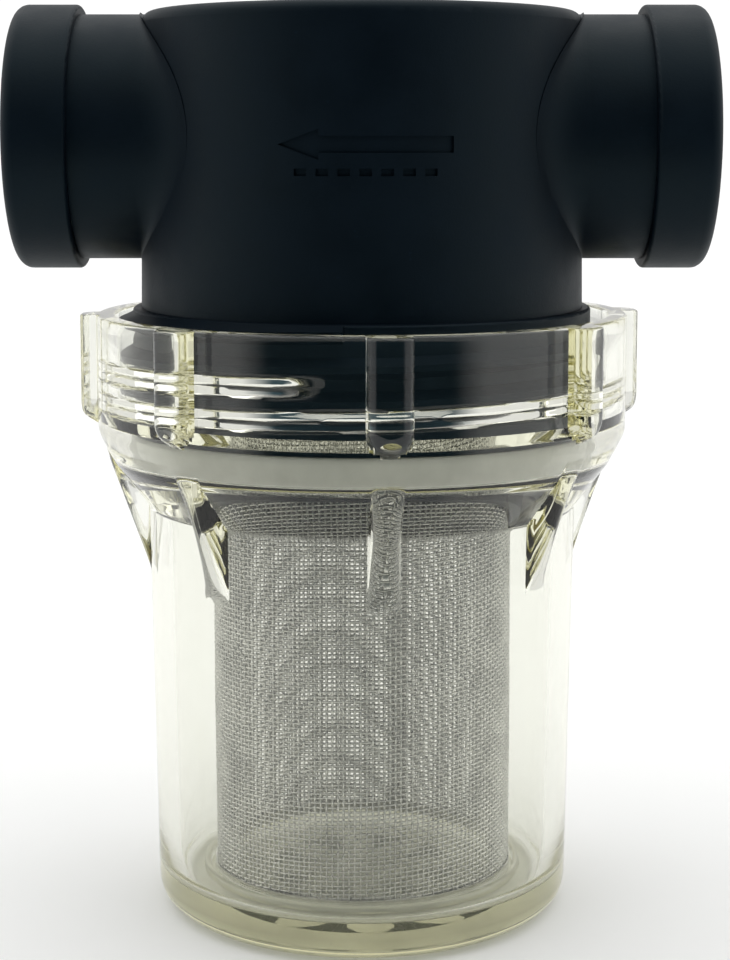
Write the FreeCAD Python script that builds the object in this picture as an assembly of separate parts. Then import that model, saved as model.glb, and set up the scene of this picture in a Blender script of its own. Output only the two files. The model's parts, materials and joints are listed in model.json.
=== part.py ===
"""Inline water strainer: a moulded tee head, a clear screw-on bowl and a woven wire screen.

Millimetres, +Z up. The origin is the centre of the face that the bowl stands on.
X runs along the two ports: water enters at +X and leaves at -X, as the moulded arrow says.
Angles about Z are in degrees from +X, counter-clockwise seen from above.
"""
import FreeCAD
import Part
import math
import os

# ---- screen: a rolled tube of woven wire with a folded rim at each end
mesh_radius = 20.0           # outside of the woven tube
mesh_thickness = 0.5
rim_wall = 0.2
rim_cap = 0.3
top_rim_height = 3.4
bottom_rim_height = 1.4
screen_reach = 5.1           # how far the screen goes up into its socket
seam_angle = 74.3
seam_width = 2.6
seam_thickness = 0.35

# ---- socket in the head that takes the top of the screen
socket_gap = 0.25
socket_wall = 1.3
socket_lip = 1.9             # how far the seat narrows inside the screen
gasket_height = 1.5
gasket_gap = 0.1

# ---- ports: 3/4 inch pipe thread, female; the bore is at the thread's major radius
port_height = 102.5          # port axis above the base of the bowl
port_half_length = 45.0      # centre of the body to each port's end face
port_thread_radius = 13.3
port_thread_depth = 16.0
port_shoulder = 2.7          # threaded bore to the plain bore behind it
pipe_wall = 2.7
collar_step = 1.25           # the thicker end of each pipe
collar_length = 8.2
collar_end_round = 1.6
collar_step_round = 0.5
duct_wall = 2.0              # wall of the outlet duct where it crosses the inlet chamber

# ---- head: its body above, then the threaded block and the skirt
body_above_pipe = 0.2        # top of the pipes to the flat top
body_below_pipe = 6.2        # underside of the pipes to the foot of the body
body_inset = 1.1             # threaded block to the foot of the body
body_draft = 0.4             # how much narrower the body is at its top
body_top_round = 1.5
body_foot_round = 0.4
head_roof = 3.2
head_wall = 3.0              # body wall round the inlet chamber
block_height = 15.6          # foot of the body to the face that presses on the sealing ring
block_land = 5.0             # width of that face outside the skirt
skirt_height = 3.4           # how far the skirt reaches below the block
skirt_wall = 1.3
skirt_channel = 2.25         # way for the water between the skirt and the socket

# ---- screw thread between head and bowl, right hand, one start
thread_lead = 4.1
thread_depth = 1.9
thread_ridge_base = 2.6
thread_ridge_crest = 0.8
thread_radial_gap = 0.4      # crest of one ridge to the root of the other
head_ridge_top_angle = 266.0 # where the head's ridge ends at the top
head_ridge_drop = 1.0        # foot of the body to the middle of that end
head_ridge_end_gap = 2.23    # foot of the ridge's lower end to the foot of the block
bowl_ridge_top_angle = 263.0
bowl_ridge_drop = 1.5        # leads from the head's ridge down to the top end of the bowl's
bowl_ridge_end_gap = 0.18    # foot of the ridge's lower end to the sealing ring

# ---- sealing ring between the block and the bowl's shoulder
seal_height = 3.3
seal_gap = 0.1               # head to the ring, before the bowl is pulled tight
seal_inner_gap = 0.4
seal_overhang = 0.45         # how far the ring reaches past the block
seal_edge_round = 0.6

# ---- bowl
rim_drop = 0.86              # foot of the body to the bowl's rim
ring_wall = 2.5
ring_height = 15.4           # rim to where the ring starts to round inwards
ring_round = 4.0
rim_round = 0.35
shoulder_inset = 2.1         # outside of the ring to the top of the cone
shoulder_drop = 4.04         # foot of the ring to the top of the cone
shoulder_round = 3.0
cone_height = 5.9
neck_gap = 0.4               # head's skirt to the bowl's neck
pocket_gap = 0.2             # sealing ring to the wall of its pocket
pocket_rise = 0.7            # top of the sealing ring to the foot of the lead-in above it
wall_thickness = 2.8
wall_draft = 0.9             # how much narrower the wall is at the base
floor_thickness = 4.45
base_round = 3.4
base_land = 6.6              # width of the ring that the bowl stands on
base_recess_depth = 0.8
inside_round = 2.0
floor_ring_gap = 0.4         # bottom rim to the low ring on the bowl's floor
floor_ring_wall = 1.0
floor_ring_height = 1.0

# ---- grip lugs and fins round the bowl
grip_count = 8
grip_start_angle = 5.5
lug_stand = 2.2              # flat face of a lug from the outside of the ring
lug_width = 5.7
lug_length = 14.15
lug_edge_round = 1.7
fin_width = 3.9
fin_stand = 0.4              # top of a fin from the top of the cone
fin_top_drop = 0.6
fin_tail = 8.8               # how far a fin runs down the wall below the cone
fin_edge_round = 1.2

# ---- flow arrow and plain dashes let into the front of the body
mark_depth = 0.4
arrow_length = 21.0
arrow_head_length = 4.9
arrow_head_width = 3.7
arrow_shaft_width = 2.0
arrow_shift = 0.5            # arrow's middle from the body's middle, along X
arrow_drop = 0.85            # below the port axis
dash_count = 7
dash_pitch = 2.6
dash_length = 1.5
dash_width = 0.9
dash_drop = 4.15

# ---- working values of the modelling
overrun = 1.0                # how far a cutting tool runs past the faces that it cuts
bite = 0.3                   # how deep an added ridge is rooted in its wall
same = 1e-3                  # two measured places closer than this are one place

# ---- radii, from the screen outwards
rim_radius = mesh_radius + rim_wall
socket_radius = rim_radius + socket_gap
socket_outer_radius = socket_radius + socket_wall
outlet_radius = socket_radius - socket_lip
skirt_inner_radius = socket_outer_radius + skirt_channel
skirt_radius = skirt_inner_radius + skirt_wall
block_radius = skirt_radius + block_land
body_radius = block_radius - body_inset
body_radius_top = body_radius - body_draft
chamber_radius = body_radius_top - head_wall
thread_crest_radius = block_radius + thread_depth
seal_radius = block_radius + seal_overhang
pocket_radius = seal_radius + pocket_gap
ring_bore_radius = thread_crest_radius + thread_radial_gap
ring_radius = ring_bore_radius + ring_wall
lug_radius = ring_radius + lug_stand
neck_radius = skirt_radius + neck_gap
wall_radius_top = neck_radius + wall_thickness
wall_radius_base = wall_radius_top - wall_draft
wall_inner_radius_base = wall_radius_base - wall_thickness
base_recess_radius = wall_radius_base - base_land
shoulder_radius = ring_radius - shoulder_inset
fin_top_radius = shoulder_radius + fin_stand
pipe_radius = port_thread_radius + pipe_wall
collar_radius = pipe_radius + collar_step
port_bore_radius = port_thread_radius - port_shoulder

# ---- heights, from the ports downwards
body_top = port_height + pipe_radius + body_above_pipe
body_foot = port_height - pipe_radius - body_below_pipe
chamber_top = body_top - head_roof
block_bottom = body_foot - block_height
skirt_bottom = block_bottom - skirt_height
rim_height = body_foot - rim_drop
ring_foot = rim_height - ring_height
shoulder_height = ring_foot - shoulder_drop
crease_height = shoulder_height - cone_height
fin_top_height = shoulder_height - fin_top_drop
fin_foot_height = crease_height - fin_tail
seal_top = block_bottom - seal_gap
seal_bottom = seal_top - seal_height
lead_in_foot = seal_top + pocket_rise
lead_in_top = lead_in_foot + ring_bore_radius - pocket_radius
screen_bottom = floor_thickness
screen_top = skirt_bottom + screen_reach
seat_height = screen_top + gasket_gap + gasket_height

# ---- the two screw ridges: heights are to the middle of a ridge's upper end
head_ridge_top = body_foot - head_ridge_drop
head_ridge_rise = head_ridge_top - thread_ridge_base / 2 - head_ridge_end_gap - block_bottom
ridge_above_bowl_end = head_ridge_top - thread_lead * (head_ridge_top_angle - bowl_ridge_top_angle) / 360
bowl_ridge_top = ridge_above_bowl_end - thread_lead * bowl_ridge_drop
bowl_ridge_rise = bowl_ridge_top - thread_ridge_base / 2 - bowl_ridge_end_gap - seal_top

up = FreeCAD.Vector(0, 0, 1)
along_x = FreeCAD.Vector(1, 0, 0)
centre = FreeCAD.Vector(0, 0, 0)


def turned(points):
    """A solid of revolution about Z from (radius, height) corners."""
    corners = [FreeCAD.Vector(r, 0, z) for r, z in points]
    face = Part.Face(Part.makePolygon(corners + corners[:1]))
    return face.revolve(centre, up, 360)


def tube(inner, outer, low, high):
    """A plain ring from one height to another."""
    return turned([(inner, low), (outer, low), (outer, high), (inner, high)])


def rod_x(radius, start, end):
    """A cylinder along X at the height of the ports."""
    base = FreeCAD.Vector(start, 0, port_height)
    return Part.makeCylinder(radius, end - start, base, along_x)


def rings_at(shape, radius, height):
    """The circular edges about Z with this radius and height."""
    found = []
    for edge in shape.Edges:
        curve = edge.Curve
        if not isinstance(curve, Part.Circle):
            continue
        level = abs(curve.Center.z - height) < same and abs(curve.Axis.z) > 1 - same
        if level and abs(curve.Radius - radius) < same:
            found.append(edge)
    return found


def rounded(shape, radius, height, round_radius):
    """The shape with its edge at this radius and height rounded."""
    return shape.makeFillet(round_radius, rings_at(shape, radius, height))


def ridge(root_radius, crest_radius, top_angle, top_height, rise):
    """A screw ridge with sloping flanks, rooted in its wall and wound down from its top end."""
    side = 1 if crest_radius > root_radius else -1
    rooted = root_radius - side * bite
    slope = (thread_ridge_base - thread_ridge_crest) / 2 / abs(crest_radius - root_radius)
    half_root = thread_ridge_base / 2 + slope * bite
    half_crest = thread_ridge_crest / 2
    helix = Part.makeHelix(thread_lead, rise, rooted)
    profile = Part.makePolygon([
        FreeCAD.Vector(rooted, 0, -half_root),
        FreeCAD.Vector(crest_radius, 0, -half_crest),
        FreeCAD.Vector(crest_radius, 0, half_crest),
        FreeCAD.Vector(rooted, 0, half_root),
        FreeCAD.Vector(rooted, 0, -half_root),
    ])
    sweep = Part.BRepOffsetAPI.MakePipeShell(helix)
    sweep.setFrenetMode(True)
    sweep.add(profile)
    sweep.build()
    sweep.makeSolid()
    solid = sweep.shape()
    solid.rotate(centre, up, top_angle - 360 * rise / thread_lead)
    solid.translate(FreeCAD.Vector(0, 0, top_height - rise))
    return solid


def circles_at_x(shape, x):
    """The circular edges about X at this place along it."""
    circles = [e for e in shape.Edges if isinstance(e.Curve, Part.Circle)]
    return [e for e in circles if abs(e.Curve.Center.x - x) < same]


def port_pipes():
    """Both pipes and their collars, as one solid along X."""
    inner_end = port_half_length - collar_length
    pipes = rod_x(pipe_radius, -inner_end - bite, inner_end + bite)
    collar = rod_x(collar_radius, inner_end, port_half_length)
    collar = collar.makeFillet(collar_end_round, circles_at_x(collar, port_half_length))
    collar = collar.makeFillet(collar_step_round, circles_at_x(collar, inner_end))
    other = collar.copy()
    other.rotate(FreeCAD.Vector(0, 0, port_height), up, 180)
    return pipes.fuse([collar, other])


def inlet_chamber():
    """The ring of space between the body wall and the socket tube, less the duct across it."""
    widen_from = block_bottom + overrun
    widen_by = chamber_radius - skirt_inner_radius
    space = turned([
        (socket_outer_radius, skirt_bottom - overrun),
        (skirt_inner_radius, skirt_bottom - overrun),
        (skirt_inner_radius, widen_from),
        (chamber_radius, widen_from + widen_by),
        (chamber_radius, chamber_top),
        (socket_outer_radius, chamber_top),
    ])
    duct = rod_x(port_bore_radius + duct_wall, -body_radius, 0)
    return space.cut(duct)


def outlet_chamber():
    """The space inside the socket tube, wider at its foot where the screen goes in."""
    return turned([
        (0, skirt_bottom - overrun),
        (socket_radius, skirt_bottom - overrun),
        (socket_radius, seat_height),
        (outlet_radius, seat_height),
        (outlet_radius, chamber_top),
        (0, chamber_top),
    ])


def front_marks():
    """The flow arrow and the row of dashes, as deep as the marks are cut."""
    y = -body_radius - overrun
    middle = port_height - arrow_drop
    tip = arrow_shift - arrow_length / 2
    neck = tip + arrow_head_length
    tail = arrow_shift + arrow_length / 2
    outline = [
        (tip, 0),
        (neck, arrow_head_width / 2),
        (neck, arrow_shaft_width / 2),
        (tail, arrow_shaft_width / 2),
        (tail, -arrow_shaft_width / 2),
        (neck, -arrow_shaft_width / 2),
        (neck, -arrow_head_width / 2),
    ]
    corners = [FreeCAD.Vector(x, y, middle + z) for x, z in outline]
    depth = FreeCAD.Vector(0, body_radius, 0)
    arrow = Part.Face(Part.makePolygon(corners + corners[:1])).extrude(depth)
    marks = [arrow]
    first = arrow_shift - dash_pitch * (dash_count - 1) / 2
    for index in range(dash_count):
        x = first + dash_pitch * index - dash_length / 2
        low = FreeCAD.Vector(x, y, port_height - dash_drop - dash_width / 2)
        marks.append(Part.makeBox(dash_length, body_radius, dash_width, low))
    share = (port_height - dash_drop - body_foot) / (body_top - body_foot)
    radius_there = body_radius + (body_radius_top - body_radius) * share
    core = Part.makeCylinder(radius_there - mark_depth, body_top)
    return Part.makeCompound(marks).cut(core)


def head_body():
    """The one-piece moulded head: body, pipes, threaded block, skirt, duct and screen socket."""
    outside = turned([
        (0, body_top),
        (body_radius_top, body_top),
        (body_radius, body_foot),
        (block_radius, body_foot),
        (block_radius, block_bottom),
        (skirt_radius, block_bottom),
        (skirt_radius, skirt_bottom),
        (0, skirt_bottom),
    ])
    outside = rounded(outside, body_radius_top, body_top, body_top_round)
    outside = rounded(outside, block_radius, body_foot, body_foot_round)
    outside = outside.fuse(port_pipes())
    outside = outside.cut(front_marks())
    thread = ridge(block_radius, thread_crest_radius, head_ridge_top_angle, head_ridge_top,
                   head_ridge_rise)
    above = tube(body_radius_top, ring_radius, body_foot, body_top)
    outside = outside.fuse(thread.cut(above))
    bore_end = port_half_length + overrun
    thread_start = port_half_length - port_thread_depth
    spaces = [
        inlet_chamber(),
        outlet_chamber(),
        rod_x(port_bore_radius, socket_outer_radius, bore_end),
        rod_x(port_thread_radius, thread_start, bore_end),
        rod_x(port_bore_radius, -bore_end, 0),
        rod_x(port_thread_radius, -bore_end, -thread_start),
    ]
    for space in spaces:
        outside = outside.cut(space)
    return outside


def wall_radius_at(height):
    """Outside of the bowl's tapered wall."""
    share = height / crease_height
    return wall_radius_base + (wall_radius_top - wall_radius_base) * share


def bowl_shell():
    """The bowl without its grips and thread."""
    shell = turned([
        (0, base_recess_depth),
        (base_recess_radius, base_recess_depth),
        (base_recess_radius, 0),
        (wall_radius_base, 0),
        (wall_radius_top, crease_height),
        (shoulder_radius, shoulder_height),
        (ring_radius, ring_foot),
        (ring_radius, rim_height),
        (ring_bore_radius, rim_height),
        (ring_bore_radius, lead_in_top),
        (pocket_radius, lead_in_foot),
        (pocket_radius, seal_bottom),
        (neck_radius, seal_bottom),
        (neck_radius, crease_height),
        (wall_inner_radius_base, floor_thickness),
        (0, floor_thickness),
    ])
    shell = rounded(shell, wall_radius_base, 0, base_round)
    shell = rounded(shell, ring_radius, ring_foot, ring_round)
    shell = rounded(shell, shoulder_radius, shoulder_height, shoulder_round)
    shell = rounded(shell, ring_radius, rim_height, rim_round)
    shell = rounded(shell, ring_bore_radius, rim_height, rim_round)
    shell = rounded(shell, wall_inner_radius_base, floor_thickness, inside_round)
    return shell


def grip_lug():
    """One lug at angle 0: a flat-faced tongue with a half-round lower end."""
    half = lug_width / 2
    foot = rim_height - lug_length + half
    top_left = FreeCAD.Vector(lug_radius, half, rim_height)
    low_left = FreeCAD.Vector(lug_radius, half, foot)
    bottom = FreeCAD.Vector(lug_radius, 0, foot - half)
    low_right = FreeCAD.Vector(lug_radius, -half, foot)
    top_right = FreeCAD.Vector(lug_radius, -half, rim_height)
    outline = Part.Wire([
        Part.makeLine(top_left, low_left),
        Part.Arc(low_left, bottom, low_right).toShape(),
        Part.makeLine(low_right, top_right),
        Part.makeLine(top_right, top_left),
    ])
    depth = lug_radius - (ring_radius + ring_bore_radius) / 2
    lug = Part.Face(outline).extrude(FreeCAD.Vector(-depth, 0, 0))
    face_edges = [e for e in lug.Edges if abs(e.BoundBox.XMin - lug_radius) < same]
    return lug.makeFillet(lug_edge_round, face_edges)


def grip_fin():
    """One fin at angle 0: a tapered web under the ring with a rounded outer edge."""
    foot_radius = wall_radius_at(fin_foot_height)
    slope = (fin_top_radius - foot_radius) / (fin_top_height - fin_foot_height)
    root_radius = foot_radius - wall_thickness / 2
    top = shoulder_height
    top_radius = fin_top_radius + slope * (top - fin_top_height)
    foot = fin_foot_height - (foot_radius - root_radius) / slope
    corners = [
        FreeCAD.Vector(root_radius, -fin_width / 2, foot),
        FreeCAD.Vector(top_radius, -fin_width / 2, top),
        FreeCAD.Vector(root_radius, -fin_width / 2, top),
    ]
    face = Part.Face(Part.makePolygon(corners + corners[:1]))
    fin = face.extrude(FreeCAD.Vector(0, fin_width, 0))
    slant = math.hypot(top_radius - root_radius, top - foot)
    return fin.makeFillet(fin_edge_round, [e for e in fin.Edges if abs(e.Length - slant) < same])


def round_the_axis(shape, count, start_angle):
    """Copies of a shape spaced evenly about Z."""
    copies = []
    for index in range(count):
        copy = shape.copy()
        copy.rotate(centre, up, start_angle + 360.0 * index / count)
        copies.append(copy)
    return copies


def bowl():
    """The clear bowl, with its lugs, fins, screw ridge and the low ring that centres the screen."""
    shell = bowl_shell()
    grips = round_the_axis(grip_lug(), grip_count, grip_start_angle)
    grips += round_the_axis(grip_fin(), grip_count, grip_start_angle)
    shell = shell.fuse(grips)
    crest = ring_bore_radius - thread_depth
    thread = ridge(ring_bore_radius, crest, bowl_ridge_top_angle, bowl_ridge_top, bowl_ridge_rise)
    shell = shell.fuse(thread)
    inner = rim_radius + floor_ring_gap
    low = floor_thickness - bite
    floor_ring = tube(inner, inner + floor_ring_wall, low, floor_thickness + floor_ring_height)
    return shell.fuse(floor_ring)


def bowl_sealing_ring():
    """Flat silicone ring on the bowl's shoulder, squeezed by the head's threaded block."""
    inner = neck_radius + seal_inner_gap
    ring = tube(inner, seal_radius, seal_bottom, seal_top)
    ring = rounded(ring, seal_radius, seal_top, seal_edge_round)
    return rounded(ring, inner, seal_top, seal_edge_round)


def screen_seat_gasket():
    """Thin rubber ring in the socket, above the screen's top rim."""
    low = screen_top + gasket_gap
    return tube(outlet_radius, rim_radius, low, seat_height)


def screen_mesh():
    """The rolled wire cloth, as a plain tube as thick as the weave."""
    low = screen_bottom + rim_cap
    return tube(mesh_radius - mesh_thickness, mesh_radius, low, screen_top - rim_cap)


def screen_rim(closed_height, open_height):
    """A folded metal rim: a channel that is closed at one height and holds the mesh's edge."""
    side = 1 if open_height > closed_height else -1
    inner = mesh_radius - mesh_thickness
    floor = closed_height + side * rim_cap
    return turned([
        (inner - rim_wall, closed_height),
        (rim_radius, closed_height),
        (rim_radius, open_height),
        (mesh_radius, open_height),
        (mesh_radius, floor),
        (inner, floor),
        (inner, open_height),
        (inner - rim_wall, open_height),
    ])


def screen_seam_strip():
    """The lapped edge of the wire cloth, a narrow second layer inside the tube."""
    outer = mesh_radius - mesh_thickness
    low = screen_bottom + bottom_rim_height
    high = screen_top - top_rim_height
    width_angle = math.degrees(seam_width / outer)
    corners = [
        FreeCAD.Vector(outer - seam_thickness, 0, low),
        FreeCAD.Vector(outer, 0, low),
        FreeCAD.Vector(outer, 0, high),
        FreeCAD.Vector(outer - seam_thickness, 0, high),
    ]
    face = Part.Face(Part.makePolygon(corners + corners[:1]))
    strip = face.revolve(centre, up, width_angle)
    strip.rotate(centre, up, seam_angle - width_angle / 2)
    return strip


def all_parts():
    """Every node's name and shape."""
    return {
        "head_body": head_body(),
        "bowl": bowl(),
        "bowl_sealing_ring": bowl_sealing_ring(),
        "screen_seat_gasket": screen_seat_gasket(),
        "screen_mesh": screen_mesh(),
        "screen_seam_strip": screen_seam_strip(),
        "screen_top_rim": screen_rim(screen_top, screen_top - top_rim_height),
        "screen_bottom_rim": screen_rim(screen_bottom, screen_bottom + bottom_rim_height),
    }


os.makedirs("parts", exist_ok=True)
for name, shape in all_parts().items():
    shape.exportStep(os.path.join("parts", name + ".step"))
    box = shape.BoundBox
    print(name, "valid", shape.isValid(), "solids", len(shape.Solids), "volume", round(shape.Volume, 1),
          "z", round(box.ZMin, 2), round(box.ZMax, 2), "x", round(box.XMin, 2), round(box.XMax, 2))
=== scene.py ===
"""The finished look of an inline water strainer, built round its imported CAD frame.

Metres, +Z up, in the frame of the CAD model: the bowl stands on z = 0 and X runs along the ports.
"""
import json
import math

import bpy
import numpy as np
from bpy.props import FloatProperty, FloatVectorProperty, IntProperty, PointerProperty
from bpy.types import Operator, Panel, PropertyGroup
from mathutils import Matrix, Vector


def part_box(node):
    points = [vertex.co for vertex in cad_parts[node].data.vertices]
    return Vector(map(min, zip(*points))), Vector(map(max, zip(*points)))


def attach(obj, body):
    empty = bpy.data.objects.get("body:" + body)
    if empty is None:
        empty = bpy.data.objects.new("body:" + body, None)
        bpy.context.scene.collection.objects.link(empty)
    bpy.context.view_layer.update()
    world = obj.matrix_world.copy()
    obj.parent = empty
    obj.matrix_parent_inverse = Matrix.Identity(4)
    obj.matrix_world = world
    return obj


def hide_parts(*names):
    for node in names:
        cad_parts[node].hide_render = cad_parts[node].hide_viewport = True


bl_info = {
    "name": "Inline Water Strainer",
    "version": (1, 0, 0),
    "blender": (4, 5, 0),
    "location": "3D View > Sidebar > Strainer",
    "description": "Builds the visible pieces and finishes of a clear-bowl water strainer",
    "category": "Object",
}

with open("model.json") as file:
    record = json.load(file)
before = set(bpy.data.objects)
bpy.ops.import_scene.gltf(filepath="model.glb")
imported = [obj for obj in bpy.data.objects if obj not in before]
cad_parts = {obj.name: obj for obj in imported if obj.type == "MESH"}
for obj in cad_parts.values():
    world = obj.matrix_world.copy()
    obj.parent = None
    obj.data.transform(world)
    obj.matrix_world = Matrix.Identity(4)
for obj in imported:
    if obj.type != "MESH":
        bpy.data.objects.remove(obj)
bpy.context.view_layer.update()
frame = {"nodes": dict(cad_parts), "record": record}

MM = 0.001
TURN = 2 * math.pi

# Places that the CAD frame settles.
bowl_low, bowl_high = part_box("bowl")
head_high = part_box("head_body")[1]
mesh_low, mesh_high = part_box("screen_mesh")
seam_low, seam_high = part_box("screen_seam_strip")
seal_low, seal_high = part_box("bowl_sealing_ring")
mounts = {mount["name"]: mount for mount in frame["record"]["mounts"]}
inlet = mounts["inlet_port"]
port_height = inlet["pos_m"][2]
port_radius = inlet["dims"]["r_mm"] * MM
port_depth = inlet["dims"]["length_mm"] * MM

# The screw thread between head and bowl.
THREAD_LEAD = 4.1 * MM
RIDGE_BASE = 2.6 * MM
RIDGE_DEPTH = 1.2 * MM
RIDGE_TOP = 73.116 * MM
RIDGE_TOP_ANGLE = math.radians(263)
RIDGE_TURNS = 1.716
RIDGE_RUN_OUT = math.radians(9)

# Where the lugs and fins start and end.
LUG_STRAIGHT = 11.3 * MM
FIN_TOP = 59.4 * MM
FIN_TOP_RADIUS = 33.4 * MM
FIN_FOOT = 45.3 * MM
FIN_FOOT_RADIUS = 28.35 * MM
FIN_FADE = 4.5 * MM

# Air between the bowl's base and the floor.
FLOOR_GAP = 0.05 * MM

# The bowl's outline, from its base to the foot of its threaded ring.
RECESS_RADIUS = 20.6 * MM
RECESS_DEPTH = 0.8 * MM
BASE_RADIUS = 27.6 * MM
BASE_ROUND = 3.4 * MM
WALL_MIDDLE = (28.33 * MM, 43.0 * MM, 0)
WALL_TOP = 54.1 * MM
WALL_TOP_RADIUS = 28.5 * MM
SHOULDER = (33.0 * MM, 60.0 * MM, 3.0 * MM)
RING_FOOT = 64.0 * MM
RING_MIDDLE = 70.5 * MM
EDGE_BREAK = 0.4 * MM
LIP = 1.6 * MM

# Inside the bowl.
NECK_RADIUS = 25.7 * MM
POCKET_GAP = 0.2 * MM
POCKET_RISE = 0.7 * MM
THREAD_START = 74.9 * MM
POLE_RADIUS = 0.3 * MM
COLLAR_RISE = 1.0 * MM

# The head's outside.
PIPE_RADIUS = 16.0 * MM
BODY_RADIUS = 29.0 * MM
FLOOR_CORNERS = 128


# ---------------------------------------------------------------- sizes and colours


class BowlSettings(PropertyGroup):
    """Sizes and tint of the clear bowl."""

    ring_radius: FloatProperty(
        name="Ring radius", description="Outside of the threaded ring",
        default=35.1 * MM, unit="LENGTH", precision=5)
    bore_radius: FloatProperty(
        name="Bore radius", description="Inside of the threaded ring",
        default=32.6 * MM, unit="LENGTH", precision=5)
    wall_thickness: FloatProperty(
        name="Wall", description="Thickness of the tapered wall",
        default=2.8 * MM, unit="LENGTH", precision=5)
    floor_thickness: FloatProperty(
        name="Floor", description="Thickness of the floor under the screen",
        default=4.45 * MM, unit="LENGTH", precision=5)
    grips: IntProperty(
        name="Grips", description="Number of lugs, and of fins below them", default=8, min=3)
    grip_angle: FloatProperty(
        name="Grip angle", description="Angle of the first lug from the inlet side",
        default=math.radians(5.5), subtype="ANGLE")
    lug_width: FloatProperty(
        name="Lug width", description="Width of a lug's flat face",
        default=5.7 * MM, unit="LENGTH", precision=5)
    lug_reach: FloatProperty(
        name="Lug reach", description="Flat face of a lug from the bowl's axis",
        default=37.3 * MM, unit="LENGTH", precision=5)
    fin_width: FloatProperty(
        name="Fin width", description="Width of a fin under the ring",
        default=3.9 * MM, unit="LENGTH", precision=5)
    tint: FloatVectorProperty(
        name="Tint", description="Colour that a long way through the plastic leaves",
        default=(0.84, 0.82, 0.56), size=3, subtype="COLOR")
    depth_of_tint: FloatProperty(
        name="Depth of tint", description="Absorption per metre of plastic", default=30.0, min=0.0)


class HeadSettings(PropertyGroup):
    """Colour and thread of the black head."""

    colour: FloatVectorProperty(
        name="Plastic", description="Colour of the moulded head",
        default=(0.0012, 0.0034, 0.0072), size=3, subtype="COLOR")
    thread_pitch: FloatProperty(
        name="Port thread pitch", description="One turn of the pipe thread",
        default=1.814 * MM, unit="LENGTH", precision=5)
    blend: FloatProperty(
        name="Pipe blend", description="Widest part of the blend between body and pipe",
        default=4.2 * MM, unit="LENGTH", precision=5)


class ScreenSettings(PropertyGroup):
    """Weave of the screen."""

    uprights: IntProperty(
        name="Uprights", description="Upright wires round the tube, an odd number", default=173, min=15)
    lift: IntProperty(
        name="Lift", description="Rows that a cross wire climbs in one turn, an odd number", default=11)
    row_pitch: FloatProperty(
        name="Row pitch", description="Distance between cross wires",
        default=0.6 * MM, unit="LENGTH", precision=5)
    colour: FloatVectorProperty(
        name="Steel", description="Colour of the stainless wire",
        default=(0.68, 0.675, 0.645), size=3, subtype="COLOR")


class StageSettings(PropertyGroup):
    """Floor, light and camera."""

    floor: FloatVectorProperty(
        name="Floor", description="Colour of the floor", default=(0.93, 0.93, 0.92), size=3, subtype="COLOR")
    ambient: FloatProperty(
        name="Ambient", description="Brightness of the surrounding light", default=0.85, min=0.0)
    table_radius: FloatProperty(
        name="Table radius", description="Size of the table top", default=0.58, unit="LENGTH")
    table_edge: FloatProperty(
        name="Table edge", description="Distance from the object's axis to the table's near edge",
        default=0.3, unit="LENGTH")
    dark_front: FloatProperty(
        name="Dark front", description="How far the dark side of the room reaches round from the front",
        default=math.radians(55), subtype="ANGLE")
    top_light: FloatProperty(
        name="Top light", description="Power of the overhead softbox, in watts", default=12.0, min=0.0)
    lens: FloatProperty(
        name="Lens", description="Focal length in millimetres", default=75.67, min=10.0)


# ---------------------------------------------------------------- shader arithmetic


class Wire:
    """A node's output socket that arithmetic can be done on: each operator adds a Math node."""

    def __init__(self, paint, socket):
        self.paint = paint
        self.socket = socket

    def _math(self, operation, first, second):
        return self.paint.add("ShaderNodeMath", {"operation": operation}, {0: first, 1: second})

    def __add__(self, other):
        return self._math("ADD", self, other)

    def __mul__(self, other):
        return self._math("MULTIPLY", self, other)

    def __radd__(self, other):
        return self._math("ADD", other, self)

    def __rmul__(self, other):
        return self._math("MULTIPLY", other, self)


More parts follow.
